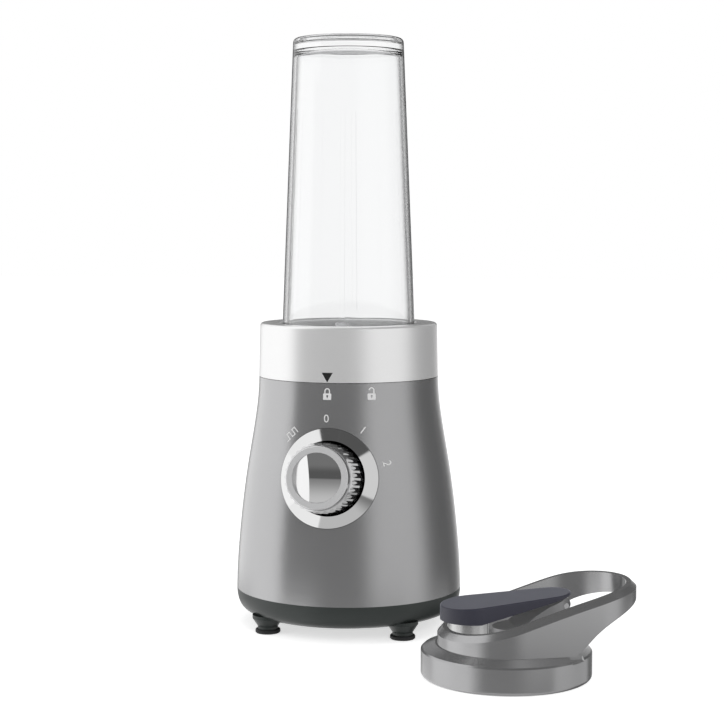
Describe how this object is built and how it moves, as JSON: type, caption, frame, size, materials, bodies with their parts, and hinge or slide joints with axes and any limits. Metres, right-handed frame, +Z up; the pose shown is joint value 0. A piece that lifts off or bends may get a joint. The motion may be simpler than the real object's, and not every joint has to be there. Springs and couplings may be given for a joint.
{
  "type": "countertop blender",
  "caption": "Personal blender: round motor base with a dial, lock collar, clear cup standing rim down, and a travel lid with carry loop and flip cap.",
  "frame": {"origin": "middle of the footprint of base and lid, in the plane they stand on", "axes": "+Z up along the motor shaft, -Y towards the front with the dial, +X to the right"},
  "size_m": [0.2416, 0.229, 0.3455],
  "materials": {
    "housing_grey": "metallic grey satin",
    "collar_silver": "silver satin",
    "black_plastic": "moulded, fine grain",
    "rubber_black": "moulded",
    "bezel_metal": "spun and polished",
    "knob_grey": "metallic satin",
    "cap_mirror": "polished",
    "clear_plastic": "clear moulded",
    "steel": "machined",
    "laminations": "stacked sheet",
    "copper": "enamelled wire",
    "brass": "drawn",
    "bronze": "sintered",
    "carbon": "pressed",
    "bracket_alloy": "die cast",
    "fan_plastic": "moulded",
    "board_green": "lacquered board",
    "seal_rubber": "silicone",
    "lid_grey": "metallic satin",
    "cap_dark": "moulded satin"
  },
  "bodies": {
    "base": {"base_housing": "housing_grey", "cup_seat": "black_plastic", "bottom_cover": "black_plastic", "rubber_feet": "rubber_black", "bottom_screws": "steel", "cord_gland": "rubber_black", "circuit_board": "board_green", "interlock_switch": "fan_plastic", "lower_bracket": "bracket_alloy", "upper_bracket": "bracket_alloy", "lower_bearing": "steel", "upper_bearing": "steel", "motor_mounts": "rubber_black", "stator_core": "laminations", "field_coils": "copper", "motor_bolts": "steel", "bolt_spacers": "bracket_alloy", "brush_holders": "brass", "carbon_brushes": "carbon", "brush_springs": "steel", "dial_bezel": "bezel_metal", "rotary_switch": "fan_plastic", "switch_nut": "steel"},
    "plunger": {"interlock_plunger": "steel"},
    "rotor": {"motor_shaft": "steel", "armature_core": "laminations", "armature_winding": "copper", "commutator": "copper", "cooling_fan": "fan_plastic", "drive_coupler": "fan_plastic"},
    "dial": {"knob_body": "knob_grey", "knob_cap": "cap_mirror", "switch_spindle": "steel"},
    "blade_unit": {"lock_collar": "collar_silver", "blade_holder": "black_plastic", "cup_gasket": "seal_rubber", "blade_bearing": "bronze", "shaft_seal": "rubber_black"},
    "blades": {"blade_shaft": "steel", "blade_washers": "steel", "lower_blade": "steel", "upper_blade": "steel", "blade_nut": "steel", "driven_coupler": "steel"},
    "cup": {"cup": "clear_plastic"},
    "lid": {"lid_body": "lid_grey", "lid_gasket": "seal_rubber", "carry_loop": "lid_grey", "spout": "lid_grey", "hinge_hub": "lid_grey", "hinge_pin": "steel"},
    "flip": {"flip_cap": "cap_dark", "cap_seal": "seal_rubber"}
  },
  "joints": [
    {"name": "dial_turn", "type": "hinge", "parent": "base", "child": "dial", "pos_m": [-0.05401, -0.02051, 0.0944], "axis": [0, -0.9877, 0.1564], "range_deg": [-75, 45]},
    {"name": "motor_spin", "type": "hinge", "parent": "base", "child": "rotor", "pos_m": [-0.05401, 0.03949, 0.08], "axis": [0, 0, 1], "continuous": true},
    {"name": "cup_lock", "type": "hinge", "parent": "base", "child": "blade_unit", "pos_m": [-0.05401, 0.03949, 0.15], "axis": [0, 0, 1], "range_deg": [0, 27]},
    {"name": "interlock", "type": "slide", "parent": "base", "child": "plunger", "axis": [0, 0, 1], "range_m": [0, 0.003]},
    {"name": "blade_spin", "type": "hinge", "parent": "blade_unit", "child": "blades", "pos_m": [-0.05401, 0.03949, 0.15], "axis": [0, 0, 1], "continuous": true},
    {"name": "cup_lift", "type": "slide", "parent": "blade_unit", "child": "cup", "axis": [0, 0, 1], "range_m": [0, 0.2]},
    {"name": "lid_lift", "type": "slide", "parent": "base", "child": "lid", "axis": [0, 0, 1], "range_m": [0, 0.15]},
    {"name": "flip_open", "type": "hinge", "parent": "lid", "child": "flip", "pos_m": [0.08144, -0.05793, 0.0374], "axis": [-0.3795, 0.9252, 0], "range_deg": [0, 115]}
  ],
  "couplings": [
    {"joint": "blade_spin", "follows": "motor_spin", "ratio": 1},
    {"joint": "interlock", "follows": "cup_lock", "m_per_rad": 0.006366}
  ]
}
